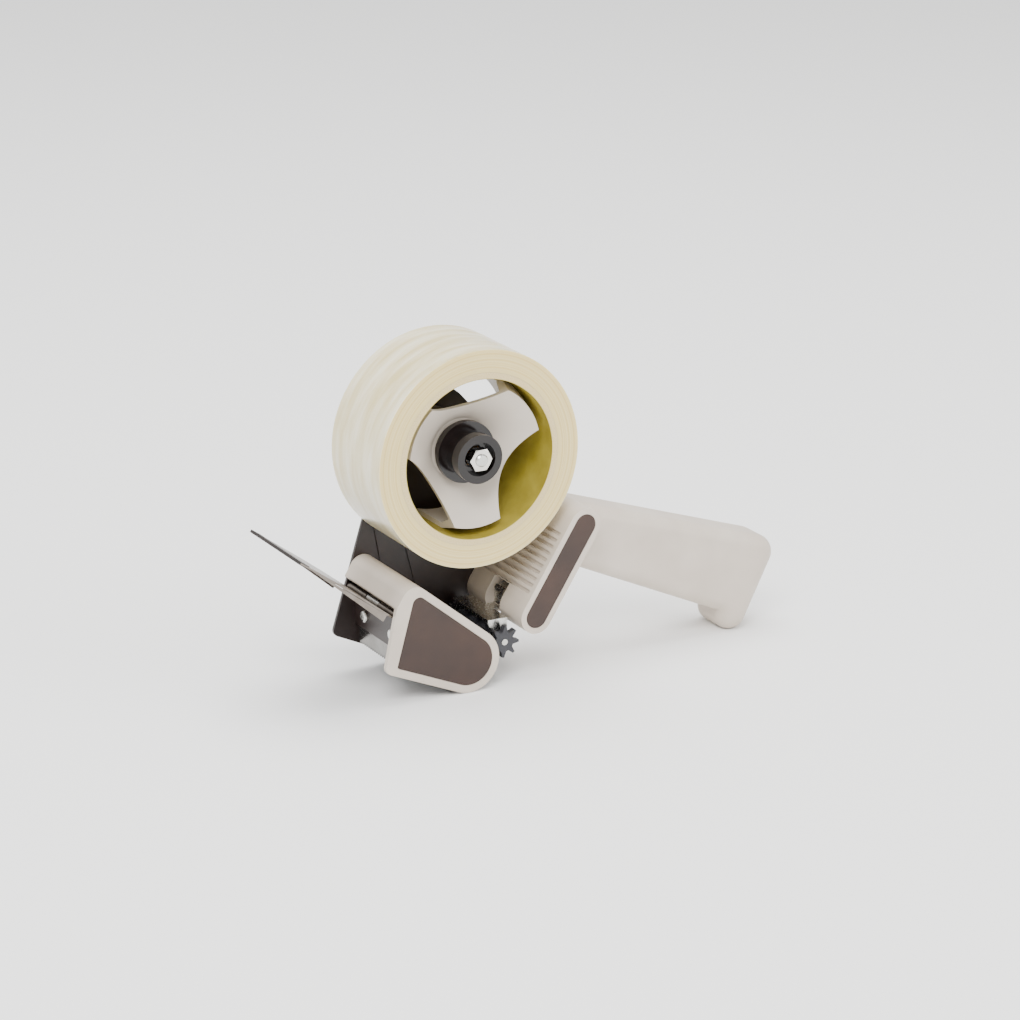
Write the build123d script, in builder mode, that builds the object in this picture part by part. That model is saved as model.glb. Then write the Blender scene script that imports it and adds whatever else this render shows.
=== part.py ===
"""Hand-held packing tape dispenser, pistol-grip pattern, for 48 mm tape on a 76 mm core.

Millimetres, +Z up. +X runs along the tool towards the grip, +Y away from the open side that
takes the roll. Z = 0 is the surface that the tool stands on, and the origin is the middle of
its footprint. Profiles are drawn in side view, about the roll's axis.
"""

from math import acos, atan2, cos, degrees, radians, sin
from build123d import *
import os

os.makedirs("parts", exist_ok=True)

# Tape and core
tape_width = 48.0
tape_roll_r = 52.0
core_inner_r = 38.1
core_wall = 3.0
core_length = 48.0
wound_fit = 0.05

# Where the roll's axis stands
hub_height = 112.0
hub_x = -40.0

# Fits and gaps
running_fit = 0.05
screw_fit = 0.10
inset_gap = 0.2
seat_gap = 0.3
wall_gap = 0.3

# Walls
plate_thick = 1.6
cover_wall = 2.6
panel_wall = 2.2
shell_wall = 2.6
inset_depth = 0.8
inset_top_x, inset_top_z, inset_top_r = -33.0, -64.0, 3.5
inset_low_x, inset_low_z, inset_low_r = -43.0, -92.9, 1.0

# Planes across the tool, measured from its middle
open_face_y = -28.0
plate_face_y = 25.0
cover_inner_y = open_face_y + cover_wall

# Application roller
roller_x, roller_z = -9.0, -97.0
roller_r = 15.0
rubber_wall = 3.0
roller_end_gap = 0.7
roller_hub_r = 6.0
roller_web = 2.4
roller_axle_r = 3.0
axle_head_r = 5.4
axle_head_thick = 1.6

# Front cover, side view
round_end_x, round_end_z = -6.15, -96.15
round_end_r = 15.6
nose_x, nose_z = -35.2, -62.3
nose_r = 7.0
lip_x, lip_z = -44.5, -65.7
chin_x, chin_z = -46.2, -92.8
chin_r = 3.6
panel_end_x = -4.0
cover_screw_spots = ((-34.4, -62.6), (-13.0, -77.6))
cover_boss_r = 3.3
cover_boss_length = 12.0
cover_rib_thick = 2.0
rim_width = 3.6

# Side plate
plate_hub_r = 23.1
plate_corner_x, plate_corner_z = -47.2, -91.4
plate_corner_r = 3.2
bead_width = 2.2
bead_depth = 0.6
bead_lines = (((-31.0, -40.0), (-24.5, -72.0)), ((-16.0, -46.0), (-8.5, -74.0)))
hub_ring_r = 18.0

# Post and grip, side view
post_low_x, post_low_z = 29.4, -80.2
post_top_x, post_top_z = 54.8, -38.7
post_r = 8.25
stripe_r = 5.3
rib_pitch = 3.4
rib_gap = 1.7
rib_depth = 1.1
rib_count = 10
first_rib_at = 17.0
rib_end_y = 25.0
grip_half_width = 14.0
grip_round = 7.2
grip_outline = (
    (20.0, -20.2), (176.8, -69.2), (156.1, -112.0), (142.8, -112.0), (142.8, -101.2), (20.0, -47.8)
)
grip_corner_r = (8.0, 9.0, 7.5, 7.3, 2.5, 8.0)
grip_split_y = 0.0
shell_screw_spots = ((76.0, -53.5), (118.0, -68.5), (157.5, -90.0))
shell_boss_r = 4.0
far_reach = 200.0
post_boss_r = 4.2

# Screws
screw_r = 1.6
screw_head_r = 3.0
screw_head_thick = 1.9
head_rim_share = 0.35
post_screw_length = 13.0
cover_screw_length = 10.0
shell_screw_length = 16.0
head_well_depth = 2.2

# Blade and its bracket
bracket_x = -39.2
bracket_thick = 1.5
bracket_top_z, bracket_low_z = -73.6, -89.0
bracket_flange = 9.0
clamp_thick = 1.5
clamp_low_z = -85.8
clamp_half_width = 19.0
blade_thick = 0.8
blade_top_z, blade_tip_z = -77.5, -98.4
blade_tooth_pitch = 2.0
blade_tooth_depth = 1.5
blade_end_gap = 0.7
blade_screw_y = 14.0
blade_screw_z = -82.0

# Wiper flap
flap_pin_x, flap_pin_z = -41.6, -70.0
flap_pin_r = 1.25
flap_knuckle_r = 2.1
flap_length = 61.8
flap_rise_deg = 34.1
flap_width = 52.0
flap_root_width = 49.4
flap_root_length = 7.5
flap_thick = 0.8
flap_bow = 0.5
flap_rib_depth = 3.4
flap_edge_length = 5.0
flap_edge_wall = 0.3
flap_spring_half = 6.0
flap_coils = 10

# Hold-down lever and its toothed roller
lever_pin_x, lever_pin_z = 31.5, -75.5
lever_pin_r = 1.5
lever_knuckle_r = 2.8
lever_thick = 1.4
lever_strip_width = 8.0
lever_slot_width = 14.0
lever_slot_top_z = -69.5
lever_cheek = 3.0
lever_coils = 4
lever_strip_x = 25.0
lever_bend_r = 1.6
lever_hood_z = -82.6
lever_hood_from_x, lever_hood_to_x = 9.0, 19.5
lever_arm_end_r = 3.6
lever_arm_y = 17.0
star_x, star_z = 15.2, -92.0
star_tip_r = 7.8
star_core_r = 4.3
star_teeth = 8
star_turn_deg = -4.0
star_disc_thick = 3.0
star_end_y = 22.8
star_disc_pitch = 11.0
star_root_r = 4.9
star_axle_r = 1.5

# Hub stack along the spindle
spindle_r = 4.0
stud_r = 3.0
stud_end_y = -26.5
stud_far_y = 30.6
shoulder_end_y = -15.4
stud_chamfer = 0.5
hub_boss_r = 10.0
hub_face_y = -4.0
bush_wall = 1.9
dish_foot_r = 14.5
dish_rim_r = 34.2
dish_rim_y = -20.0
dish_wall = 2.4
pad_back_y = 18.0
pad_wall = 2.4
pad_grip_y = -6.0
hub_arms = ((252.0, 293.0), (375.0, 421.0), (492.0, 534.5))
hub_window_from_r = 22.3
felt_r = 13.0
felt_thick = 2.2
brake_washer_thick = 1.2

# Brake knob
knob_flange_r = 14.8
knob_flange_y = -7.9
knob_flange_thick = 3.2
knob_neck_r = 10.6
knob_ring_r = 11.65
knob_ring_length = 5.5
knob_front_y = -24.0
knob_recess_r = 8.0
knob_recess_depth = 4.6
knob_web = 2.4
knob_cavity_r = 8.0
nut_flats = 10.0
nut_thick = 4.6
nut_back_y = -20.8
far_nut_thick = 3.6
spring_wire_r = 0.6
spring_r = 6.4
spring_turns = 4
spring_seat_thick = 1.2
insert_r = 5.0


def side(y):
    """Side-view plane at a distance across the tool; local x is +X, local y is +Z."""
    return Plane(origin=(hub_x, y, hub_height), x_dir=(1, 0, 0), z_dir=(0, -1, 0))


def turned(x, z):
    """Plane through an axis that runs across the tool; local x is the radius, local y is +Y."""
    return Plane(origin=(hub_x + x, 0, hub_height + z), x_dir=(1, 0, 0), z_dir=(0, 0, 1))


def across(x, z):
    """Axis across the tool at a place in side view."""
    return Axis((hub_x + x, 0, hub_height + z), (0, 1, 0))


def polar(x, z, r, angle_deg):
    """Point at a radius and angle about a centre in side view."""
    return (x + r * cos(radians(angle_deg)), z + r * sin(radians(angle_deg)))


def tangent_angle(x1, z1, r1, x2, z2, r2):
    """Direction of the normal of the upper line that touches two circles."""
    dx, dz = x2 - x1, z2 - z1
    reach = (dx * dx + dz * dz) ** 0.5
    return degrees(atan2(dz, dx)) + degrees(acos((r1 - r2) / reach))


def tube(x, z, outer, inner, y_near, y_far):
    """Plain ring or rod across the tool."""
    with BuildPart() as made:
        with BuildSketch(side(y_far)):
            with Locations((x, z)):
                Circle(outer)
                if inner > 0:
                    Circle(inner, mode=Mode.SUBTRACT)
        extrude(amount=y_far - y_near)
    return made


def dome(r, y_rim, y_top):
    """Edge of a domed head, from its rim to its top on the axis."""
    rise = abs(y_top - y_rim)
    way = 1 if y_top > y_rim else -1
    ball_r = (r * r + rise * rise) / (2 * rise)
    half_angle = atan2(r, ball_r - rise) / 2
    middle = (ball_r * sin(half_angle), y_top - way * ball_r * (1 - cos(half_angle)))
    ThreePointArc((r, y_rim), middle, (0, y_top))


def pan_screw(x, z, y_head, length, points_to_far):
    """Pan-head screw across the tool; y_head is the plane under its head."""
    way = 1 if points_to_far else -1
    with BuildPart() as made:
        with BuildSketch(turned(x, z)):
            with BuildLine():
                rim_y = y_head - way * screw_head_thick * head_rim_share
                Polyline(
                    (0, y_head + way * length),
                    (screw_r, y_head + way * length),
                    (screw_r, y_head),
                    (screw_head_r, y_head),
                    (screw_head_r, rim_y),
                )
                dome(screw_head_r, rim_y, y_head - way * screw_head_thick)
                Line((0, y_head - way * screw_head_thick), (0, y_head + way * length))
            make_face()
        revolve(axis=across(x, z))
    return made


def keep(made, name):
    """Label one finished piece and write its file."""
    made.part.label = name
    export_step(made.part, "parts/" + name + ".step")


# Angles that the cover's outline is drawn from
top_line_deg = tangent_angle(nose_x, nose_z, nose_r, round_end_x, round_end_z, round_end_r)
post_tilt_deg = degrees(atan2(post_top_z - post_low_z, post_top_x - post_low_x))
post_length = ((post_top_x - post_low_x) ** 2 + (post_top_z - post_low_z) ** 2) ** 0.5
post_middle = ((post_low_x + post_top_x) / 2, (post_low_z + post_top_z) / 2)
post_bolt_spots = ((post_low_x, post_low_z), (post_top_x, post_top_z))

# Planes and faces that follow from the values above
far_face_y = plate_face_y + plate_thick
mid_y = (cover_inner_y + plate_face_y) / 2
hub_back_y = plate_face_y - felt_thick - seat_gap
front_felt_y = hub_face_y - seat_gap
brake_washer_y = front_felt_y - felt_thick
spring_start_y = brake_washer_y - brake_washer_thick
knob_web_y = knob_front_y + knob_recess_depth
spring_seat_y = knob_web_y + knob_web + running_fit


# Side plate: pressed steel, with two beads and a raised ring round the spindle
with BuildPart() as side_plate:
    with BuildSketch(side(plate_face_y + plate_thick)):
        with BuildLine():
            CenterArc((0, 0), plate_hub_r, 0, 360)
            CenterArc((plate_corner_x, plate_corner_z), plate_corner_r, 0, 360)
            CenterArc((round_end_x, round_end_z), round_end_r, 0, 360)
            CenterArc((post_low_x, post_low_z), post_r, 0, 360)
            CenterArc((post_top_x, post_top_z), post_r, 0, 360)
        make_hull()
    extrude(amount=plate_thick)
    for bead_from, bead_to in bead_lines:
        with BuildSketch(side(plate_face_y + bead_depth)):
            bead_x, bead_z = bead_to[0] - bead_from[0], bead_to[1] - bead_from[1]
            with Locations(((bead_from[0] + bead_to[0]) / 2, (bead_from[1] + bead_to[1]) / 2)):
                SlotOverall(
                    (bead_x ** 2 + bead_z ** 2) ** 0.5,
                    bead_width,
                    rotation=degrees(atan2(bead_z, bead_x)),
                )
        extrude(amount=bead_depth, mode=Mode.SUBTRACT)
    with BuildSketch(side(plate_face_y + plate_thick + bead_depth)):
        Circle(hub_ring_r)
        Circle(hub_ring_r - bead_width, mode=Mode.SUBTRACT)
    extrude(amount=bead_depth)
    with BuildSketch(side(plate_face_y + plate_thick)):
        Circle(stud_r + running_fit)
        with Locations((roller_x, roller_z)):
            Circle(roller_axle_r + running_fit)
        with Locations((flap_pin_x, flap_pin_z)):
            Circle(flap_pin_r + running_fit)
        with Locations(*cover_screw_spots, *post_bolt_spots):
            Circle(screw_r + screw_fit)
    extrude(amount=plate_thick, mode=Mode.SUBTRACT)
keep(side_plate, "side_plate")


def cover_outline():
    """Edges of the cover's side wall: nose, lip, chin and round end."""
    CenterArc((nose_x, nose_z), nose_r, 0, 360)
    CenterArc((round_end_x, round_end_z), round_end_r, 0, 360)
    CenterArc((chin_x, chin_z), chin_r, 0, 360)
    CenterArc((lip_x + panel_wall / 2, lip_z + panel_wall / 2), panel_wall / 2, 0, 360)


def inset_edges(shrink):
    """Edges of the recess in the cover's side wall, drawn in by a gap for the inset itself."""
    CenterArc((round_end_x, round_end_z), round_end_r - rim_width - shrink, 0, 360)
    CenterArc((inset_top_x, inset_top_z), inset_top_r - shrink, 0, 360)
    CenterArc((inset_low_x, inset_low_z), inset_low_r - shrink, 0, 360)


# Front cover: one moulding with its side wall, its sloping top and the rolled nose
with BuildPart() as front_cover:
    with BuildSketch(side(cover_inner_y)):
        with BuildLine():
            cover_outline()
        make_hull()
    extrude(amount=cover_wall)
    nose_mid_r = nose_r - panel_wall / 2
    lip_turn_deg = 155.0
    top_from = polar(nose_x, nose_z, nose_mid_r, top_line_deg)
    run = (panel_end_x - top_from[0]) / sin(radians(top_line_deg))
    with BuildSketch(side(plate_face_y)) as panel:
        with BuildLine() as panel_line:
            Line(
                (top_from[0] + run * sin(radians(top_line_deg)), top_from[1] - run * cos(radians(top_line_deg))),
                top_from,
            )
            CenterArc((nose_x, nose_z), nose_mid_r, top_line_deg, lip_turn_deg - top_line_deg)
            Line(
                polar(nose_x, nose_z, nose_mid_r, lip_turn_deg),
                (lip_x + panel_wall / 2, lip_z + panel_wall / 2),
            )
        trace(line_width=panel_wall)
        with Locations((lip_x + panel_wall / 2, lip_z + panel_wall / 2)):
            Circle(panel_wall / 2)
    extrude(amount=plate_face_y - cover_inner_y)
    up_x, up_z = polar(0, 0, 1, top_line_deg)
    for spot in cover_screw_spots:
        rib_reach = nose_mid_r - (spot[0] - nose_x) * up_x - (spot[1] - nose_z) * up_z
        with BuildSketch(side(plate_face_y)):
            with Locations(spot):
                Circle(cover_boss_r)
            with Locations(polar(spot[0], spot[1], rib_reach / 2, top_line_deg)):
                Rectangle(rib_reach, cover_rib_thick, rotation=top_line_deg)
        extrude(amount=cover_boss_length)
        with BuildSketch(side(plate_face_y)):
            with Locations(spot):
                Circle(screw_r + running_fit)
        extrude(amount=cover_boss_length - panel_wall, mode=Mode.SUBTRACT)
    with BuildSketch(side(cover_inner_y)):
        with Locations((roller_x, roller_z)):
            Circle(roller_axle_r + running_fit)
        with Locations((flap_pin_x, flap_pin_z)):
            Circle(flap_pin_r + running_fit)
    extrude(amount=cover_wall - inset_depth, mode=Mode.SUBTRACT)
    with BuildSketch(side(open_face_y + inset_depth)):
        with BuildLine():
            inset_edges(0)
        make_hull()
    extrude(amount=inset_depth, mode=Mode.SUBTRACT)
keep(front_cover, "front_cover")


# Cover inset: thin textured plate let into the recess of the side wall
with BuildPart() as cover_inset:
    with BuildSketch(side(open_face_y + inset_depth)):
        with BuildLine():
            inset_edges(inset_gap)
        make_hull()
    extrude(amount=inset_depth)
keep(cover_inset, "cover_inset")


# Roller drum: moulded core with two end webs round its axle
roller_near_y = cover_inner_y + roller_end_gap
roller_far_y = plate_face_y - roller_end_gap
drum_r = roller_r - rubber_wall
with BuildPart() as roller_core:
    with BuildSketch(side(roller_far_y)):
        with Locations((roller_x, roller_z)):
            Circle(drum_r)
            Circle(roller_axle_r + running_fit, mode=Mode.SUBTRACT)
    extrude(amount=roller_far_y - roller_near_y)
    for pocket_y in (roller_far_y, roller_near_y + (roller_far_y - roller_near_y) / 2 - roller_web):
        with BuildSketch(side(pocket_y)):
            with Locations((roller_x, roller_z)):
                Circle(drum_r - roller_web)
                Circle(roller_hub_r, mode=Mode.SUBTRACT)
        extrude(amount=(roller_far_y - roller_near_y) / 2 - roller_web, mode=Mode.SUBTRACT)
keep(roller_core, "roller_core")

roller_sleeve = tube(roller_x, roller_z, roller_r, drum_r, roller_near_y, roller_far_y)
keep(roller_sleeve, "roller_sleeve")


def headed_pin(x, z, r, head_r, head_thick, y_end):
    """Plain pin across the tool with its head on the side plate's outer face."""
    with BuildPart() as made:
        with BuildSketch(turned(x, z)):
            with BuildLine():
                rim_y = far_face_y + head_thick * head_rim_share
                Polyline((0, y_end), (r, y_end), (r, far_face_y), (head_r, far_face_y), (head_r, rim_y))
                dome(head_r, rim_y, far_face_y + head_thick)
                Line((0, far_face_y + head_thick), (0, y_end))
            make_face()
        revolve(axis=across(x, z))
    return made


blind_end_y = open_face_y + inset_depth + inset_gap
roller_axle = headed_pin(roller_x, roller_z, roller_axle_r, axle_head_r, axle_head_thick, blind_end_y)
keep(roller_axle, "roller_axle")


def facing(x):
    """Plane that faces along the tool; local x is +Y, local y is +Z about the roll's axis."""
    return Plane(origin=(hub_x + x, mid_y, hub_height), x_dir=(0, 1, 0), z_dir=(1, 0, 0))


# Blade bracket: folded plate between the two side walls, a flange at each end
inner_width = plate_face_y - cover_inner_y
blade_screw_spots = ((-blade_screw_y, blade_screw_z), (blade_screw_y, blade_screw_z))
with BuildPart() as blade_bracket:
    with BuildSketch(facing(bracket_x)):
        with Locations((0, (bracket_top_z + bracket_low_z) / 2)):
            Rectangle(inner_width, bracket_top_z - bracket_low_z)
    extrude(amount=bracket_thick)
    with BuildSketch(facing(bracket_x)):
        for flange_y in (-1, 1):
            with Locations((flange_y * (inner_width - bracket_thick) / 2, (bracket_top_z + bracket_low_z) / 2)):
                Rectangle(bracket_thick, bracket_top_z - bracket_low_z)
    extrude(amount=bracket_flange)
    with BuildSketch(facing(bracket_x)):
        with Locations(*blade_screw_spots):
            Circle(screw_r + screw_fit)
    extrude(amount=bracket_thick, mode=Mode.SUBTRACT)
keep(blade_bracket, "blade_bracket")

# Cutter blade: thin strip with a row of teeth along its lower edge
blade_x = bracket_x + bracket_thick
blade_width = inner_width - (bracket_thick + blade_end_gap) * 2
tooth_count = int(blade_width / blade_tooth_pitch)
tooth_line = [(-blade_width / 2, blade_tip_z + blade_tooth_depth)]
for tooth in range(tooth_count):
    tooth_at = -blade_width / 2 + tooth * blade_tooth_pitch
    tooth_line.append((tooth_at + blade_tooth_pitch / 2, blade_tip_z))
    tooth_line.append((tooth_at + blade_tooth_pitch, blade_tip_z + blade_tooth_depth))
with BuildPart() as cutter_blade:
    with BuildSketch(facing(blade_x)):
        with BuildLine():
            Polyline(
                (-blade_width / 2, blade_top_z),
                *tooth_line,
                (tooth_line[-1][0], blade_top_z),
                close=True,
            )
        make_face()
        with Locations(*blade_screw_spots):
            Circle(screw_r + screw_fit, mode=Mode.SUBTRACT)
    extrude(amount=blade_thick)
keep(cutter_blade, "cutter_blade")

# Clamp bar: tapped strip that the blade screws pull the blade against
with BuildPart() as blade_clamp:
    with BuildSketch(facing(blade_x + blade_thick)):
        with Locations((0, (blade_top_z + clamp_low_z) / 2)):
            Rectangle(clamp_half_width * 2, blade_top_z - clamp_low_z)
        with Locations(*blade_screw_spots):
            Circle(screw_r + running_fit, mode=Mode.SUBTRACT)
    extrude(amount=clamp_thick)
keep(blade_clamp, "blade_clamp")

# Blade screws: two domed heads on the bracket's front
with BuildPart() as blade_screws:
    with BuildSketch(facing(bracket_x)):
        with Locations(*blade_screw_spots):
            Circle(screw_head_r)
    extrude(amount=-screw_head_thick)
    fillet(blade_screws.faces().sort_by(Axis.X)[0:2].edges(), radius=screw_head_thick * 0.6)
    with BuildSketch(facing(bracket_x)):
        with Locations(*blade_screw_spots):
            Circle(screw_r)
    extrude(amount=bracket_thick + blade_thick + clamp_thick)
keep(blade_screws, "blade_screws")


def flap_plane(y):
    """Side-view plane of the flap; local x runs from its pin to its tip, local y is its upper side."""
    lean = radians(flap_rise_deg)
    return Plane(
        origin=(hub_x + flap_pin_x, y, hub_height + flap_pin_z),
        x_dir=(-cos(lean), 0, sin(lean)),
        z_dir=(0, 1, 0),
    )


# Wiper flap: bowed steel sheet, narrow where it passes between the side walls
plate_v = -(flap_knuckle_r - flap_thick / 2)
flap_tip = flap_length - flap_edge_wall
knuckle_far = flap_root_width / 2
flap_mid = ((flap_tip) / 2, plate_v / 2 + flap_bow)
with BuildPart() as wiper_flap:
    with BuildSketch(flap_plane(mid_y - flap_width / 2)):
        with BuildLine():
            ThreePointArc((0, plate_v), flap_mid, (flap_tip, 0))
        trace(line_width=flap_thick)
    extrude(amount=flap_width)
    for notch_y in (mid_y - flap_width / 2, mid_y + knuckle_far):
        with BuildSketch(flap_plane(notch_y)):
            with Locations((flap_root_length / 2 - flap_knuckle_r, 0)):
                Rectangle(flap_root_length + flap_knuckle_r * 2, flap_knuckle_r * 3)
        extrude(amount=flap_width / 2 - knuckle_far, mode=Mode.SUBTRACT)
    for rib_y in (mid_y - flap_width / 2, mid_y + flap_width / 2 - flap_thick):
        with BuildSketch(flap_plane(rib_y)):
            with BuildLine():
                Polyline(
                    (flap_root_length, plate_v),
                    (flap_tip - flap_edge_length, plate_v * flap_edge_length / flap_tip),
                    (flap_root_length, plate_v - flap_rib_depth),
                    close=True,
                )
            make_face()
        extrude(amount=flap_thick)
    for knuckle_y in (mid_y - knuckle_far, mid_y + flap_spring_half + wall_gap):
        with BuildSketch(flap_plane(knuckle_y)):
            Circle(flap_knuckle_r)
        extrude(amount=knuckle_far - flap_spring_half - wall_gap)
    with BuildSketch(flap_plane(mid_y - knuckle_far)):
        Circle(flap_pin_r + running_fit)
    extrude(amount=flap_root_width, mode=Mode.SUBTRACT)
    with BuildSketch(flap_plane(mid_y - flap_spring_half - wall_gap)):
        Circle(flap_knuckle_r + wall_gap)
    extrude(amount=(flap_spring_half + wall_gap) * 2, mode=Mode.SUBTRACT)
keep(wiper_flap, "wiper_flap")

# Flap edging: folded strip over the flap's outer edge
with BuildPart() as flap_edge:
    with BuildSketch(flap_plane(mid_y - flap_width / 2)):
        with BuildLine():
            edge_arc = ThreePointArc((0, plate_v), flap_mid, (flap_tip, 0))
            slope = edge_arc % 1
            Line((flap_tip, 0), (flap_tip + slope.X * flap_edge_wall, slope.Y * flap_edge_wall))
        trace(line_width=flap_thick + flap_edge_wall * 2)
        with Locations(((flap_tip - flap_edge_length * 2) / 2, 0)):
            Rectangle(flap_tip, flap_length, mode=Mode.SUBTRACT)
        with BuildLine():
            ThreePointArc((0, plate_v), flap_mid, (flap_tip, 0))
        trace(line_width=flap_thick, mode=Mode.SUBTRACT)
    extrude(amount=flap_width)
keep(flap_edge, "flap_edge")

flap_pin = headed_pin(
    flap_pin_x, flap_pin_z, flap_pin_r, flap_knuckle_r, axle_head_thick * 0.6, blind_end_y
)
keep(flap_pin, "flap_pin")


def wound(x, z, inner, outer, y_near, y_far, coils):
    """Close-wound torsion spring round a pin, its coils drawn as ridges."""
    step = (y_far - y_near) / coils
    ridges = [(inner, y_near)]
    for coil in range(coils):
        ridges.append(((inner + outer) / 2, y_near + coil * step))
        ridges.append((outer, y_near + (coil + 0.5) * step))
    ridges.append(((inner + outer) / 2, y_far))
    ridges.append((inner, y_far))
    with BuildPart() as made:
        with BuildSketch(turned(x, z)):
            with BuildLine():
                Polyline(*ridges, close=True)
            make_face()
        revolve(axis=across(x, z))
    return made


flap_spring = wound(
    flap_pin_x,
    flap_pin_z,
    flap_pin_r + running_fit,
    flap_knuckle_r,
    mid_y - flap_spring_half,
    mid_y + flap_spring_half,
    flap_coils,
)
keep(flap_spring, "flap_spring")


# Hold-down lever: strip in the post's slot, folded into a hood with two arms for the toothed roller
lever_top_z = lever_pin_z + lever_knuckle_r - lever_thick / 2
arm_hole_r = star_axle_r + running_fit
with BuildPart() as hold_lever:
    with BuildSketch(side(lever_strip_width / 2)):
        with BuildLine() as strip_line:
            Polyline(
                (lever_pin_x, lever_top_z),
                (lever_strip_x, lever_top_z),
                (lever_strip_x, lever_hood_z),
                (lever_hood_from_x, lever_hood_z),
            )
            fillet(strip_line.vertices().sort_by_distance((lever_strip_x, lever_top_z))[0], lever_bend_r)
            fillet(strip_line.vertices().sort_by_distance((lever_strip_x, lever_hood_z))[0], lever_bend_r)
        trace(line_width=lever_thick)
        with Locations((lever_pin_x, lever_pin_z)):
            Circle(lever_knuckle_r)
    extrude(amount=lever_strip_width)
    with BuildSketch(side(lever_arm_y + lever_thick / 2)):
        with Locations(((lever_hood_from_x + lever_hood_to_x) / 2, lever_hood_z)):
            Rectangle(lever_hood_to_x - lever_hood_from_x, lever_thick)
    extrude(amount=lever_arm_y * 2 + lever_thick)
    for arm_y in (lever_arm_y + lever_thick / 2, -lever_arm_y + lever_thick / 2):
        with BuildSketch(side(arm_y)):
            with BuildLine():
                CenterArc((star_x, star_z), lever_arm_end_r, 0, 360)
                CenterArc((lever_hood_from_x + lever_thick / 2, lever_hood_z), lever_thick / 2, 0, 360)
                CenterArc((lever_hood_to_x - lever_thick / 2, lever_hood_z), lever_thick / 2, 0, 360)
            make_hull()
        extrude(amount=lever_thick)
        with BuildSketch(side(arm_y)):
            with Locations((star_x, star_z)):
                Circle(arm_hole_r)
        extrude(amount=lever_thick, mode=Mode.SUBTRACT)
    with BuildSketch(side(lever_strip_width / 2)):
        with Locations((lever_pin_x, lever_pin_z)):
            Circle(lever_pin_r + running_fit)
    extrude(amount=lever_strip_width, mode=Mode.SUBTRACT)
keep(hold_lever, "hold_lever")

pin_reach = lever_slot_width / 2 + lever_cheek - seat_gap * 2
lever_pin = tube(lever_pin_x, lever_pin_z, lever_pin_r, 0, -pin_reach, pin_reach)
keep(lever_pin, "lever_pin")

lever_spring = wound(
    lever_pin_x,
    lever_pin_z,
    lever_pin_r + running_fit,
    lever_knuckle_r,
    lever_strip_width / 2 + running_fit,
    lever_slot_width / 2 - running_fit,
    lever_coils,
)
keep(lever_spring, "lever_spring")


def star_outline(x, z):
    """Edges of one toothed disc: straight-sided teeth between rounded roots."""
    corners = []
    for tooth_index in range(star_teeth):
        tooth_deg = star_turn_deg + tooth_index * 360 / star_teeth
        half_pitch = 180 / star_teeth
        corners.append(polar(x, z, star_tip_r, tooth_deg - half_pitch * 0.18))
        corners.append(polar(x, z, star_tip_r, tooth_deg + half_pitch * 0.18))
        corners.append(polar(x, z, star_root_r, tooth_deg + half_pitch * 0.72))
        corners.append(polar(x, z, star_root_r, tooth_deg + half_pitch * 1.28))
    Polyline(*corners, close=True)


def star_piece(core_near, core_far, disc_starts):
    """Length of toothed roller between the lever's arms, with its discs."""
    with BuildPart() as made:
        with BuildSketch(side(core_far)):
            with Locations((star_x, star_z)):
                Circle(star_core_r)
        extrude(amount=core_far - core_near)
        for disc_start in disc_starts:
            with BuildSketch(side(disc_start + star_disc_thick)):
                with BuildLine():
                    star_outline(star_x, star_z)
                make_face()
            extrude(amount=star_disc_thick)
        with BuildSketch(side(core_far)):
            with Locations((star_x, star_z)):
                Circle(star_axle_r)
        extrude(amount=core_far - core_near, mode=Mode.SUBTRACT)
    return made


# Toothed roller: a middle length with three discs and one end disc outside each arm
arm_inner_y = lever_arm_y - lever_thick / 2 - seat_gap
arm_outer_y = lever_arm_y + lever_thick / 2 + seat_gap
middle_discs = [spot - star_disc_thick / 2 for spot in (-star_disc_pitch, 0, star_disc_pitch)]
star_middle = star_piece(-arm_inner_y, arm_inner_y, middle_discs)
keep(star_middle, "star_middle")
star_near_end = star_piece(-star_end_y, -arm_outer_y, [-star_end_y])
keep(star_near_end, "star_near_end")
star_far_end = star_piece(arm_outer_y, star_end_y, [star_end_y - star_disc_thick])
keep(star_far_end, "star_far_end")
star_axle = tube(star_x, star_z, star_axle_r, 0, -star_end_y - seat_gap, star_end_y + seat_gap)
keep(star_axle, "star_axle")


def post_point(along, aside):
    """Point in side view, measured along the post from its lower centre and towards its front."""
    lean = radians(post_tilt_deg)
    return (
        post_low_x + along * cos(lean) - aside * sin(lean),
        post_low_z + along * sin(lean) + aside * cos(lean),
    )


def post_edges(r):
    """Edges of the post's section: two round ends."""
    CenterArc((post_low_x, post_low_z), r, 0, 360)
    CenterArc((post_top_x, post_top_z), r, 0, 360)


def beside_post(aside):
    """Corners of the half plane in front of a line along the post."""
    return (
        post_point(-far_reach, aside),
        post_point(far_reach, aside),
        post_point(far_reach, far_reach),
        post_point(-far_reach, far_reach),
    )


# Side-view faces of the grip: its outline, and the hollow one wall inside it
with BuildSketch() as grip_drawn:
    with BuildLine():
        Polyline(*grip_outline, close=True)
    make_face()
    for grip_corner, corner_r in zip(grip_outline, grip_corner_r):
        fillet(grip_drawn.vertices().sort_by_distance((*grip_corner, 0))[0], radius=corner_r)
with BuildSketch() as hollow_drawn:
    add(grip_drawn.sketch)
    offset(amount=-shell_wall)
    with BuildLine():
        Polyline(*beside_post(-post_r - shell_wall), close=True)
    make_face(mode=Mode.SUBTRACT)

post_cavity_r = post_r - shell_wall
slot_back = post_point(0, -post_cavity_r)
slot_lean = radians(post_tilt_deg)
slot_along = (lever_slot_top_z - post_low_z + post_cavity_r * cos(slot_lean)) / sin(slot_lean)
slot_corners = (
    (post_low_x - post_r * 2, lever_slot_top_z),
    post_point(slot_along, -post_cavity_r),
    slot_back,
    (slot_back[0], post_low_z - post_r * 2),
    (post_low_x - post_r * 2, post_low_z - post_r * 2),
)


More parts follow.
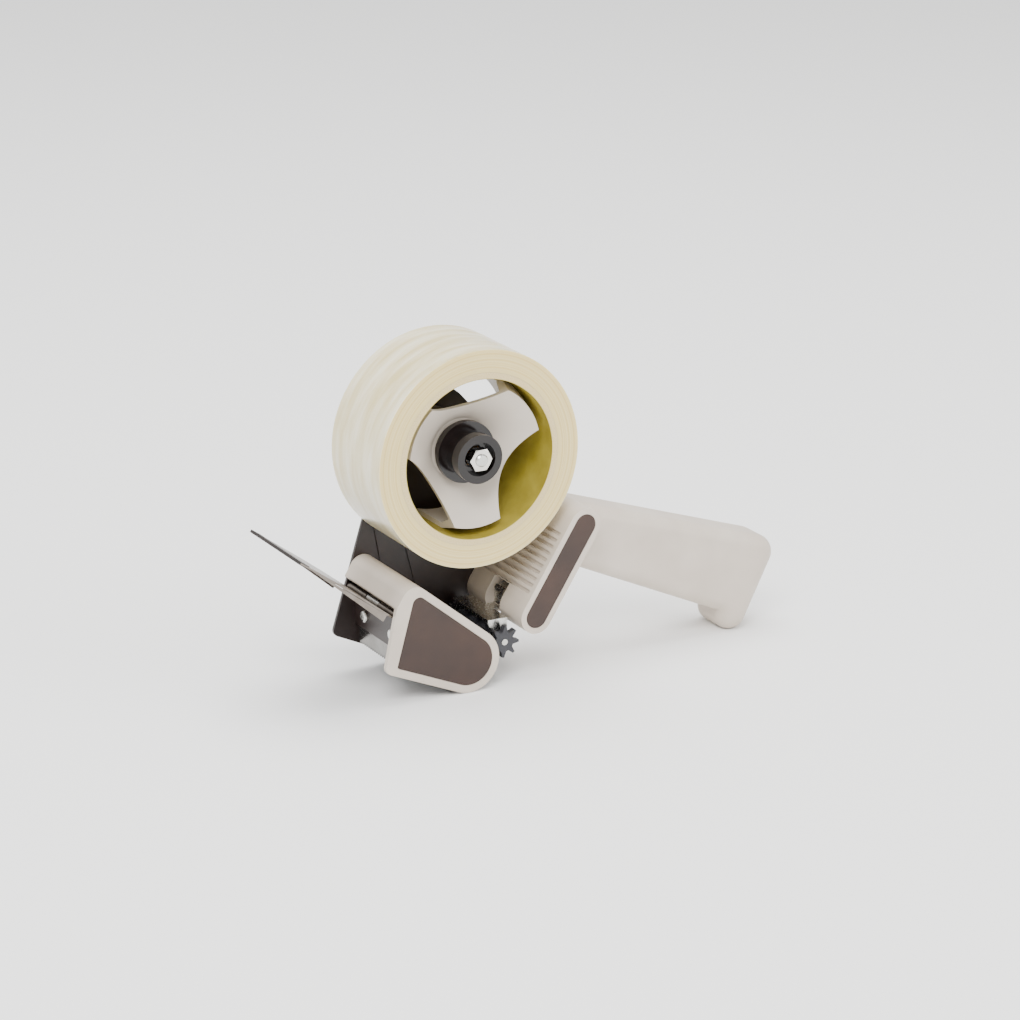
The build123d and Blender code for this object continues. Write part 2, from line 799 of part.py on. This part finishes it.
def grip_hollow(y_from, y_to, outer_y):
    """Hollow of one half of the grip, with its screw bosses left standing."""
    with BuildPart() as hollow:
        with BuildSketch(side(y_to)):
            add(hollow_drawn.sketch)
        extrude(amount=y_to - y_from)
        hollow_rim = hollow.edges().filter_by_position(Axis.Y, outer_y - running_fit, outer_y + running_fit)
        fillet(hollow_rim, radius=grip_round - shell_wall)
        with BuildSketch(side(y_to)):
            with Locations(*shell_screw_spots):
                Circle(shell_boss_r)
        extrude(amount=y_to - y_from, mode=Mode.SUBTRACT)
    return hollow


def handle_half(post_from, post_to, grip_from, grip_to, outer_y, hollow):
    """One moulded half of the post and grip, split across the middle of the tool."""
    with BuildPart() as half:
        with BuildSketch(side(grip_to)):
            add(grip_drawn.sketch)
        extrude(amount=grip_to - grip_from)
        rim = half.edges().filter_by_position(Axis.Y, outer_y - running_fit, outer_y + running_fit)
        fillet(rim, radius=grip_round)
        with BuildSketch(side(grip_to)):
            with BuildLine():
                Polyline(*beside_post(0), close=True)
            make_face()
        extrude(amount=grip_to - grip_from, mode=Mode.SUBTRACT)
        with BuildSketch(side(post_to)):
            with BuildLine():
                post_edges(post_r)
            make_hull()
        extrude(amount=post_to - post_from)
        add(hollow.part, mode=Mode.SUBTRACT)
        for rib in range(rib_count):
            rib_along = first_rib_at - post_r + rib * rib_pitch
            with BuildSketch(side(min(post_to, rib_end_y))):
                with Locations(post_point(rib_along, post_r)):
                    Rectangle(rib_gap, rib_depth * 2, rotation=post_tilt_deg)
            extrude(amount=min(post_to, rib_end_y) - max(post_from, -rib_end_y), mode=Mode.SUBTRACT)
        with BuildSketch(side(min(post_to, lever_slot_width / 2))):
            with BuildLine():
                Polyline(*slot_corners, close=True)
            make_face()
        slot_near = max(post_from, -lever_slot_width / 2)
        extrude(amount=min(post_to, lever_slot_width / 2) - slot_near, mode=Mode.SUBTRACT)
        with BuildSketch(side(min(post_to, pin_reach))):
            with Locations((lever_pin_x, lever_pin_z)):
                Circle(lever_pin_r)
        extrude(amount=min(post_to, pin_reach) - max(post_from, -pin_reach), mode=Mode.SUBTRACT)
    return half


cheek_y = lever_slot_width / 2 + lever_cheek
hollow_half_width = grip_half_width - shell_wall
near_hollow = grip_hollow(-hollow_half_width, grip_split_y, -hollow_half_width)
far_hollow = grip_hollow(grip_split_y, hollow_half_width, hollow_half_width)
near_shell = handle_half(
    open_face_y, grip_split_y, -grip_half_width, grip_split_y, -grip_half_width, near_hollow
)
far_shell = handle_half(
    grip_split_y, plate_face_y, grip_split_y, grip_half_width, grip_half_width, far_hollow
)

# Near half of the handle: recess for the stripe, hollow post and blind screw holes
with BuildPart() as handle_near_half:
    add(near_shell.part)
    with BuildSketch(side(-cheek_y)):
        with BuildLine():
            post_edges(post_cavity_r)
        make_hull()
    extrude(amount=-cheek_y - open_face_y - shell_wall, mode=Mode.SUBTRACT)
    with BuildSketch(side(open_face_y + inset_depth)):
        with BuildLine():
            post_edges(stripe_r + inset_gap)
        make_hull()
    extrude(amount=inset_depth, mode=Mode.SUBTRACT)
    with BuildSketch(side(grip_split_y)):
        with Locations(*shell_screw_spots):
            Circle(screw_r + running_fit)
    extrude(amount=shell_screw_length - hollow_half_width, mode=Mode.SUBTRACT)
keep(handle_near_half, "handle_near_half")

# Far half of the handle: bosses for the post screws, wells for the grip screws
with BuildPart() as handle_far_half:
    add(far_shell.part)
    with BuildSketch(side(plate_face_y - shell_wall)):
        with BuildLine():
            post_edges(post_cavity_r)
        make_hull()
        with Locations(*post_bolt_spots):
            Circle(post_boss_r, mode=Mode.SUBTRACT)
    extrude(amount=plate_face_y - shell_wall - cheek_y, mode=Mode.SUBTRACT)
    with BuildSketch(side(plate_face_y)):
        with Locations(*post_bolt_spots):
            Circle(screw_r + running_fit)
    extrude(amount=post_screw_length, mode=Mode.SUBTRACT)
    with BuildSketch(side(grip_half_width)):
        with Locations(*shell_screw_spots):
            Circle(screw_r + screw_fit)
    extrude(amount=grip_half_width, mode=Mode.SUBTRACT)
    with BuildSketch(side(grip_half_width)):
        with Locations(*shell_screw_spots):
            Circle(screw_head_r + inset_gap)
    extrude(amount=head_well_depth, mode=Mode.SUBTRACT)
keep(handle_far_half, "handle_far_half")

# Post stripe: thin textured plate let into the post's end
with BuildPart() as post_stripe:
    with BuildSketch(side(open_face_y + inset_depth)):
        with BuildLine():
            post_edges(stripe_r)
        make_hull()
    extrude(amount=inset_depth)
keep(post_stripe, "post_stripe")


def screw_group(spots, y_head, length, name):
    """Row of like screws in one file, driven from the far side."""
    with BuildPart() as group:
        for spot in spots:
            add(pan_screw_solid(spot, y_head, length))
    keep(group, name)


def pan_screw_solid(spot, y_head, length):
    """One screw of a group."""
    return pan_screw(spot[0], spot[1], y_head, length, False).part


screw_group(shell_screw_spots, grip_half_width - head_well_depth, shell_screw_length, "shell_screws")
screw_group(post_bolt_spots, far_face_y, post_screw_length, "post_screws")
screw_group(cover_screw_spots, far_face_y, cover_screw_length, "cover_screws")


def dish_y(r):
    """Front surface of the hub's dish at a radius."""
    return hub_face_y + (dish_rim_y - hub_face_y) * (r - dish_foot_r) / (dish_rim_r - dish_foot_r)


# Tape hub: boss, dished front with three arms, and a pad on each arm that grips the core
hub_bore_r = spindle_r + running_fit + bush_wall
pad_r = core_inner_r - wound_fit
dish_skew = dish_wall / cos(atan2(hub_face_y - dish_rim_y, dish_rim_r - dish_foot_r))
hub_windows = []
for arm, next_arm in zip(hub_arms, hub_arms[1:] + hub_arms[:1]):
    window_half = (next_arm[0] - arm[1]) % 360 / 2
    window_bite = 2 * (dish_rim_r * cos(radians(window_half)) - hub_window_from_r)
    window_at = (dish_rim_r ** 2 - hub_window_from_r ** 2) / window_bite
    hub_windows.append((window_at, arm[1] + window_half))
with BuildPart() as tape_hub:
    with BuildSketch(turned(0, 0)):
        with BuildLine():
            Polyline(
                (hub_bore_r, hub_face_y),
                (dish_foot_r, hub_face_y),
                (dish_rim_r, dish_rim_y),
                (pad_r, pad_grip_y),
                (pad_r, pad_back_y),
                (pad_r - pad_wall, pad_back_y),
                (pad_r - pad_wall, pad_grip_y),
                (dish_rim_r - pad_wall, dish_y(dish_rim_r - pad_wall) + dish_skew),
                (dish_foot_r, hub_face_y + dish_skew),
                (hub_boss_r, hub_face_y + dish_skew),
                (hub_boss_r, hub_back_y),
                (hub_bore_r, hub_back_y),
                close=True,
            )
        make_face()
    revolve(axis=across(0, 0))
    for window_at, window_deg in hub_windows:
        with BuildSketch(side(pad_back_y + dish_wall)):
            with Locations(polar(0, 0, window_at, window_deg)):
                Circle(window_at - hub_window_from_r)
        extrude(amount=pad_back_y + dish_wall * 2 - dish_rim_y, mode=Mode.SUBTRACT)
keep(tape_hub, "tape_hub")

hub_bush = tube(0, 0, hub_bore_r, spindle_r + running_fit, hub_face_y, hub_back_y)
keep(hub_bush, "hub_bush")

core_outer_r = core_inner_r + core_wall
tape_core = tube(0, 0, core_outer_r, core_inner_r, -core_length / 2, core_length / 2)
keep(tape_core, "tape_core")

tape_roll = tube(0, 0, tape_roll_r, core_outer_r + wound_fit, -tape_width / 2, tape_width / 2)
keep(tape_roll, "tape_roll")

felt_washer_back = tube(0, 0, felt_r, spindle_r + running_fit, plate_face_y - felt_thick, plate_face_y)
keep(felt_washer_back, "felt_washer_back")

felt_washer_front = tube(0, 0, felt_r, spindle_r + running_fit, brake_washer_y, front_felt_y)
keep(felt_washer_front, "felt_washer_front")

pressure_washer = tube(0, 0, felt_r, spindle_r + running_fit, spring_start_y, brake_washer_y)
keep(pressure_washer, "pressure_washer")

# Spindle: shouldered stud, clamped to the side plate by its far nut
with BuildPart() as spindle:
    with BuildSketch(turned(0, 0)):
        with BuildLine():
            Polyline(
                (0, stud_end_y),
                (stud_r - stud_chamfer, stud_end_y),
                (stud_r, stud_end_y + stud_chamfer),
                (stud_r, shoulder_end_y),
                (spindle_r, shoulder_end_y),
                (spindle_r, plate_face_y),
                (stud_r, plate_face_y),
                (stud_r, stud_far_y - stud_chamfer),
                (stud_r - stud_chamfer, stud_far_y),
                (0, stud_far_y),
                close=True,
            )
        make_face()
    revolve(axis=across(0, 0))
keep(spindle, "spindle")


def hex_nut(y_near, thick):
    """Hexagon nut on the spindle's stud, its corners turned back at both ends."""
    corner_r = nut_flats / 2 / cos(radians(30))
    slope = (corner_r - nut_flats / 2) / 2
    with BuildPart() as made:
        with BuildSketch(side(y_near + thick)):
            RegularPolygon(radius=corner_r, side_count=6)
        extrude(amount=thick)
        with BuildSketch(turned(0, 0)):
            with BuildLine():
                Polyline(
                    (stud_r + running_fit, y_near),
                    (nut_flats / 2, y_near),
                    (corner_r, y_near + slope),
                    (corner_r, y_near + thick - slope),
                    (nut_flats / 2, y_near + thick),
                    (stud_r + running_fit, y_near + thick),
                    close=True,
                )
            make_face()
        revolve(axis=across(0, 0), mode=Mode.INTERSECT)
    return made


end_nut = hex_nut(nut_back_y - nut_thick, nut_thick)
keep(end_nut, "end_nut")
spindle_nut = hex_nut(far_face_y, far_nut_thick)
keep(spindle_nut, "spindle_nut")

# Brake knob: flange, neck and grip ring, hollow behind for the spring and recessed in front for the nut
flange_front_y = knob_flange_y - knob_flange_thick
ring_back_y = knob_front_y + knob_ring_length
with BuildPart() as brake_knob:
    with BuildSketch(turned(0, 0)):
        with BuildLine():
            Polyline(
                (knob_cavity_r, knob_flange_y),
                (knob_flange_r, knob_flange_y),
                (knob_flange_r, flange_front_y),
                (knob_neck_r, flange_front_y),
                (knob_neck_r, ring_back_y),
                (knob_ring_r, ring_back_y),
                (knob_ring_r, knob_front_y),
                (knob_recess_r, knob_front_y),
                (knob_recess_r, knob_web_y),
                (insert_r, knob_web_y),
                (insert_r, knob_web_y + knob_web),
                (knob_cavity_r, knob_web_y + knob_web),
                close=True,
            )
        make_face()
    revolve(axis=across(0, 0))
keep(brake_knob, "brake_knob")

knob_insert = tube(0, 0, insert_r, stud_r + running_fit, knob_web_y, knob_web_y + knob_web)
keep(knob_insert, "knob_insert")

seat_r = knob_cavity_r - wall_gap
spring_seat = tube(0, 0, seat_r, stud_r + running_fit, spring_seat_y, spring_seat_y + spring_seat_thick)
keep(spring_seat, "spring_seat")

# Brake spring: open coil between the pressure washer and the seat inside the knob
spring_low_y = spring_seat_y + spring_seat_thick + spring_wire_r
spring_height = spring_start_y - spring_wire_r - spring_low_y
with BuildPart() as brake_spring:
    with BuildLine() as coil:
        Helix(
            pitch=spring_height / spring_turns,
            height=spring_height,
            radius=spring_r,
            center=(hub_x, spring_low_y, hub_height),
            direction=(0, 1, 0),
        )
    with BuildSketch(Plane(origin=coil.line @ 0, z_dir=coil.line % 0)):
        Circle(spring_wire_r)
    sweep()
keep(brake_spring, "brake_spring")
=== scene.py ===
# %% [markdown]
# # Packing tape dispenser
# The imported CAD frame gives every hard piece its place and its motion. This script dresses those
# pieces with one procedural finish for each real material. Lengths are in metres. +X runs towards
# the grip, +Y away from the open side, +Z up.

from math import cos, pi, radians, sin

import bmesh
import bpy
from mathutils import Matrix, Vector

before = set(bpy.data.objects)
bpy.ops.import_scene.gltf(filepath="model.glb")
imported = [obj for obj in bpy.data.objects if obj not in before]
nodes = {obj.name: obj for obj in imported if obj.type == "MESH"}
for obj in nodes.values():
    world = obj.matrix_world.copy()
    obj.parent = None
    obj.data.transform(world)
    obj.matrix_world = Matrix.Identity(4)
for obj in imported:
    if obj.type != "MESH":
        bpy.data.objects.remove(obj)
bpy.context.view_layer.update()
MM = 0.001
HUB = Vector((-40.0, 0.0, 112.0)) * MM
print("CAD nodes:", len(nodes))

# %% [markdown]
# ## Material tools
# Colours are written as sRGB hex and turned to linear once. Every pattern reads Object
# coordinates, so it stays on the object, and its scale is worked out from a size in millimetres.


# %% Colour and node helpers
def linear(hex_colour):
    """Linear RGBA of an sRGB hex colour."""
    channels = [int(hex_colour[i:i + 2], 16) / 255 for i in (0, 2, 4)]
    return tuple(c / 12.92 if c <= 0.04045 else ((c + 0.055) / 1.055) ** 2.4 for c in channels) + (1.0,)


def per_mm(size_mm):
    """Texture scale at which one cell is about this many millimetres."""
    return 1.0 / (size_mm * MM)


def add(tree, kind, values=None, links=None):
    """Add one node, set its properties and sockets, and link its inputs."""
    node = tree.nodes.new(kind)
    for key, value in (values or {}).items():
        if isinstance(key, str) and key in node.bl_rna.properties and key not in node.inputs:
            setattr(node, key, value)
        else:
            node.inputs[key].default_value = value
    for key, source in (links or {}).items():
        tree.links.new(source, node.inputs[key])
    return node


def ramp(tree, factor, stops):
    """Colour ramp between hex colours at given places."""
    node = add(tree, "ShaderNodeValToRGB", links={"Fac": factor})
    elements = node.color_ramp.elements
    while len(elements) < len(stops):
        elements.new(0.5)
    for element, (place, hex_colour) in zip(elements, stops):
        element.position = place
        element.color = linear(hex_colour)
    return node.outputs["Color"]


def spread(tree, factor, low, high, from_low=0.0, from_high=1.0):
    """Number mapped from one range to another."""
    values = {"From Min": from_low, "From Max": from_high, "To Min": low, "To Max": high}
    return add(tree, "ShaderNodeMapRange", values, {"Value": factor}).outputs["Result"]


def noise(tree, vector, size_mm, detail=3.0, roughness=0.55):
    """Noise whose cells are about size_mm across."""
    values = {"Scale": per_mm(size_mm), "Detail": detail, "Roughness": roughness}
    return add(tree, "ShaderNodeTexNoise", values, {"Vector": vector}).outputs["Fac"]


def stretched(tree, vector, factors):
    """Coordinates scaled along each axis."""
    return add(tree, "ShaderNodeMapping", {"Scale": factors}, {"Vector": vector}).outputs["Vector"]


def bump(tree, height, strength, depth_mm, normal=None):
    """Bump from a height, with its real depth."""
    links = {"Height": height}
    if normal is not None:
        links["Normal"] = normal
    return add(tree, "ShaderNodeBump", {"Strength": strength, "Distance": depth_mm * MM}, links).outputs["Normal"]


def new_finish(name, sockets):
    """Material with its shader's constants set, its tree and its Object coordinates."""
    material = bpy.data.materials.new(name)
    material.use_nodes = True
    tree = material.node_tree
    tree.nodes.clear()
    shader = add(tree, "ShaderNodeBsdfPrincipled", sockets)
    add(tree, "ShaderNodeOutputMaterial", links={"Surface": shader.outputs["BSDF"]})
    where = add(tree, "ShaderNodeTexCoord").outputs["Object"]
    return material, tree, shader, where


def connect(tree, shader, colour=None, roughness=None, normal=None):
    """Link the patterns that a finish has to its shader."""
    for socket, source in (("Base Color", colour), ("Roughness", roughness), ("Normal", normal)):
        if source is not None:
            tree.links.new(source, shader.inputs[socket])


# %% [markdown]
# ## Plastics
# The ivory mouldings have a fine spark-eroded grain, a faint mottle and a dulled sheen from
# handling. The brown insets have a much coarser leather-like grain.


# %% Moulded ivory plastic
def moulded(name, light, dark, sheen_low, sheen_high, grain_mm, grain_depth_mm, sockets=None):
    """Moulded plastic: slight mottle, patches of different sheen and a fine grain."""
    settings = {"Specular IOR Level": 0.5}
    settings.update(sockets or {})
    material, tree, shader, where = new_finish(name, settings)
    patches = noise(tree, where, 24.0, 2.0)
    grain = noise(tree, where, grain_mm, 2.0)
    connect(
        tree,
        shader,
        ramp(tree, patches, [(0.30, dark), (0.70, light)]),
        spread(tree, patches, sheen_low, sheen_high),
        bump(tree, grain, 0.35, grain_depth_mm),
    )
    return material


ivory = moulded("ivory_abs", "CCC1B4", "C1B5A7", 0.34, 0.48, 0.5, 0.02)
# The hub's ivory is a slightly lighter copy of the cover's ivory: painted light, brightening the hub where it
# sits in the roll's shade.
hub_ivory_painted_light = moulded("ivory_hub_painted_light", "D0C6B9", "C6BBAD", 0.38, 0.50, 0.5, 0.02)
brown_inset = moulded("brown_textured_abs", "3B271E", "2A1A13", 0.44, 0.62, 0.9, 0.12)
knob_black = moulded("black_brown_phenolic", "181110", "0E0A09", 0.12, 0.20, 3.0, 0.01)
knob_grey = moulded("dark_drum_plastic", "2B2726", "211E1D", 0.40, 0.55, 0.8, 0.02)
star_grey = moulded("dark_grey_nylon", "34343A", "26262A", 0.38, 0.52, 0.7, 0.02)
bush_white = moulded("white_acetal", "E3E0D8", "D8D4CA", 0.30, 0.42, 1.0, 0.01)
edging = moulded("dark_flap_edging", "2A211D", "1E1714", 0.40, 0.55, 0.7, 0.03)
print("plastics ready")

# %% [markdown]
# ## Metals
# Painted plate, zinc plate, spring steel, ground blade steel and bright nickel.


# %% Metal finishes
def metal(name, light, dark, rough_low, rough_high, streak, depth_mm=0.01, coat=0.0):
    """Bare or plated metal, with fine streaks along one axis and a slight blotch."""
    material, tree, shader, where = new_finish(name, {"Metallic": 1.0, "Coat Weight": coat})
    fine = noise(tree, stretched(tree, where, streak), 1.2, 4.0)
    blotch = noise(tree, where, 9.0, 3.0)
    connect(
        tree,
        shader,
        ramp(tree, blotch, [(0.30, dark), (0.72, light)]),
        spread(tree, fine, rough_low, rough_high, 0.3, 0.7),
        bump(tree, fine, 0.25, depth_mm),
    )
    return material


zinc = metal("zinc_plate", "D6D6D2", "C2C1BB", 0.16, 0.32, (1.0, 1.0, 1.0))
nickel = metal("bright_nickel", "E2DFDA", "D6D2CB", 0.07, 0.14, (1.0, 1.0, 1.0), 0.004)
flap_steel = metal("rolled_spring_steel", "8E8780", "756D65", 0.22, 0.38, (8.0, 0.6, 8.0))
spring_wire = metal("spring_wire", "A8A6A2", "8F8D89", 0.24, 0.36, (1.0, 1.0, 1.0))
blade_steel = metal("ground_blade_steel", "8F8D8A", "787572", 0.16, 0.30, (1.0, 0.3, 12.0))
brass = metal("turned_brass", "C79A4E", "B1853C", 0.18, 0.30, (1.0, 1.0, 1.0))


def painted(name, light, dark, grain_mm, grain_depth_mm, rough_low, rough_high):
    """Stoved paint with a fine wrinkle on pressed steel."""
    material, tree, shader, where = new_finish(name, {"Coat Weight": 0.15, "Coat Roughness": 0.35})
    wrinkle = noise(tree, where, grain_mm, 3.0, 0.6)
    patches = noise(tree, where, 30.0, 2.0)
    connect(
        tree,
        shader,
        ramp(tree, patches, [(0.3, dark), (0.7, light)]),
        spread(tree, wrinkle, rough_low, rough_high),
        bump(tree, wrinkle, 0.5, grain_depth_mm),
    )
    return material


brown_paint = painted("brown_stoved_paint", "261612", "1A0F0C", 0.7, 0.06, 0.34, 0.50)
print("metals ready")

# %% [markdown]
# ## Tape, core, rubber and felt
# The wound edge of the roll shows its turns as fine rings about the axis; its outer face is smooth
# film over cream adhesive. The core is board, yellow inside.


# %% Tape and soft finishes
def about_axis(tree, where):
    """Distance from the roll's axis."""
    from_axis = add(
        tree, "ShaderNodeVectorMath", {"operation": "SUBTRACT", 1: tuple(HUB)}, {0: where}
    ).outputs["Vector"]
    flat = add(
        tree, "ShaderNodeVectorMath", {"operation": "MULTIPLY", 1: (1.0, 0.0, 1.0)}, {0: from_axis}
    ).outputs["Vector"]
    return add(tree, "ShaderNodeVectorMath", {"operation": "LENGTH"}, {0: flat}).outputs["Value"]


ROLL_R = 52.0
CORE_BORE_R = 38.1


def wound_tape():
    """Roll of clear film tape: cream, with rings on its edge and faint bands round its face."""
    material, tree, shader, where = new_finish(
        "wound_film_tape",
        {
            "Subsurface Weight": 0.35,
            "Subsurface Radius": (0.9, 0.7, 0.35),
            "Subsurface Scale": 3.0 * MM,
            "Coat Weight": 0.35,
            "Coat Roughness": 0.12,
        },
    )
    radius = about_axis(tree, where)
    ring_values = {"noise_dimensions": "1D", "Scale": per_mm(0.9), "Detail": 4.0, "Roughness": 0.7}
    rings = add(tree, "ShaderNodeTexNoise", ring_values, {"W": radius}).outputs["Fac"]
    bands = noise(tree, stretched(tree, where, (0.15, 1.0, 0.15)), 5.0, 3.0)
    edge_colour = ramp(tree, rings, [(0.30, "D2B870"), (0.70, "E6D49A")])
    face_colour = ramp(tree, bands, [(0.32, "D8C890"), (0.68, "F0E8CC")])
    on_face = spread(tree, radius, 0.0, 1.0, (ROLL_R - 0.25) * MM, (ROLL_R - 0.05) * MM)
    colour = add(tree, "ShaderNodeMix", {"data_type": "RGBA"})
    tree.links.new(on_face, colour.inputs[0])
    tree.links.new(edge_colour, colour.inputs[6])
    tree.links.new(face_colour, colour.inputs[7])
    connect(
        tree,
        shader,
        colour.outputs[2],
        spread(tree, rings, 0.20, 0.38),
        bump(tree, rings, 0.35, 0.05),
    )
    return material


def core_board():
    """Tape core: beige board at its ends, lined inside with yellow-olive paper."""
    material, tree, shader, where = new_finish("lined_core_board", {"Specular IOR Level": 0.35})
    fibres = noise(tree, stretched(tree, where, (1.0, 0.25, 1.0)), 0.6, 4.0)
    patches = noise(tree, where, 14.0, 3.0)
    radius = about_axis(tree, where)
    lining = ramp(tree, patches, [(0.30, "8A7A22"), (0.70, "A8983A")])
    end_face = ramp(tree, fibres, [(0.30, "C7B07A"), (0.70, "DCCB9C")])
    past_lining = spread(tree, radius, 0.0, 1.0, (CORE_BORE_R + 0.1) * MM, (CORE_BORE_R + 0.3) * MM)
    colour = add(tree, "ShaderNodeMix", {"data_type": "RGBA"})
    tree.links.new(past_lining, colour.inputs[0])
    tree.links.new(lining, colour.inputs[6])
    tree.links.new(end_face, colour.inputs[7])
    connect(
        tree,
        shader,
        colour.outputs[2],
        spread(tree, fibres, 0.42, 0.60),
        bump(tree, fibres, 0.3, 0.03),
    )
    return material


def board(name, light, dark):
    """Pressed or wound fibre with short hairs."""
    material, tree, shader, where = new_finish(name, {"Specular IOR Level": 0.3})
    fibres = noise(tree, stretched(tree, where, (1.0, 0.25, 1.0)), 0.6, 4.0)
    patches = noise(tree, where, 12.0, 3.0)
    both = add(tree, "ShaderNodeMath", {"operation": "ADD"}, {0: fibres, 1: patches}).outputs["Value"]
    connect(
        tree,
        shader,
        ramp(tree, spread(tree, both, 0.0, 1.0, 0.6, 1.4), [(0.2, dark), (0.8, light)]),
        spread(tree, fibres, 0.62, 0.80),
        bump(tree, fibres, 0.4, 0.04),
    )
    return material


tape = wound_tape()
core = core_board()
felt = board("pressed_felt", "5C5750", "443F39")
rubber = moulded("black_rubber", "1B1B1B", "121212", 0.58, 0.74, 0.6, 0.03)
print("soft finishes ready")

# %% [markdown]
# ## Dress the CAD nodes
# Each node keeps its place; only its finish changes.

# %% Finishes for the nodes
FINISHES = {
    ivory: ("front_cover", "handle_near_half", "handle_far_half"),
    hub_ivory_painted_light: ("tape_hub",),
    brown_inset: ("cover_inset", "post_stripe"),
    brown_paint: ("side_plate", "blade_bracket"),
    knob_black: ("brake_knob",),
    nickel: ("end_nut",),
    zinc: (
        "roller_axle", "blade_clamp", "blade_screws", "flap_pin", "hold_lever", "lever_pin", "star_axle",
        "shell_screws", "post_screws", "cover_screws", "pressure_washer", "spindle", "spindle_nut",
        "spring_seat",
    ),
    spring_wire: ("flap_spring", "lever_spring", "brake_spring"),
    flap_steel: ("wiper_flap",),
    edging: ("flap_edge",),
    blade_steel: ("cutter_blade",),
    rubber: ("roller_sleeve",),
    knob_grey: ("roller_core",),
    star_grey: ("star_middle", "star_near_end", "star_far_end"),
    tape: ("tape_roll",),
    core: ("tape_core",),
    felt: ("felt_washer_back", "felt_washer_front"),
    brass: ("knob_insert",),
    bush_white: ("hub_bush",),
}
for finish, names in FINISHES.items():
    for name in names:
        nodes[name].data.materials.clear()
        nodes[name].data.materials.append(finish)
print("nodes dressed:", sum(len(names) for names in FINISHES.values()))

# %% [markdown]
# ## Camera, floor and light
# The camera stands where the photograph was taken from: about 29 degrees round from the open side
# and 18 degrees above it, through a long lens.

# %% Camera
CAMERA_AT = HUB + Vector((-724.04, -1324.44, 461.62)) * MM
LOOK = Vector((0.4703, 0.8262, -0.3102)).normalized()
RIGHT = Vector((0.8716, -0.4899, 0.0167))
RIGHT = (RIGHT - LOOK * RIGHT.dot(LOOK)).normalized()
UP = RIGHT.cross(LOOK)
camera_data = bpy.data.cameras.new("camera")
camera_data.lens = 120.0
camera_data.sensor_width = 36.0
camera = bpy.data.objects.new("camera", camera_data)
bpy.context.scene.collection.objects.link(camera)
camera.matrix_world = Matrix.Translation(CAMERA_AT) @ Matrix((RIGHT, UP, -LOOK)).transposed().to_4x4()
bpy.context.scene.camera = camera
print("camera at", [round(v, 3) for v in CAMERA_AT])


# %% Floor and lights
def floor_piece(size):
    """Plain floor under the tool."""
    mesh = bpy.data.meshes.new("floor")
    shape = bmesh.new()
    bmesh.ops.create_grid(shape, x_segments=1, y_segments=1, size=size)
    shape.to_mesh(mesh)
    shape.free()
    floor = bpy.data.objects.new("floor", mesh)
    bpy.context.scene.collection.objects.link(floor)
    material, tree, shader, where = new_finish("pale_floor", {"Roughness": 0.9, "Specular IOR Level": 0.2})
    shader.inputs["Base Color"].default_value = linear("FBFBFA")
    mesh.materials.append(material)
    return floor


def soft_light(name, place, target, size, power):
    """Square area light aimed at a point."""
    data = bpy.data.lights.new(name, "AREA")
    data.size = size
    data.energy = power
    light = bpy.data.objects.new(name, data)
    bpy.context.scene.collection.objects.link(light)
    aim = (Vector(target) - Vector(place)).to_track_quat("-Z", "Y")
    light.matrix_world = Matrix.Translation(place) @ aim.to_matrix().to_4x4()
    return light


floor_piece(6.0)
soft_light("key", (-0.9, -1.1, 1.5), (0, 0, 0.08), 0.9, 34.0)
soft_light("fill", (1.3, -1.2, 0.8), (0, 0, 0.08), 1.2, 12.0)
soft_light("top", (0.1, 0.3, 1.8), (0, 0, 0.08), 1.4, 34.0)
world = bpy.data.worlds.new("studio")
world.use_nodes = True
world.node_tree.nodes["Background"].inputs["Color"].default_value = (1.0, 1.0, 1.0, 1.0)
world.node_tree.nodes["Background"].inputs["Strength"].default_value = 1.15
bpy.context.scene.world = world
print("stage ready")
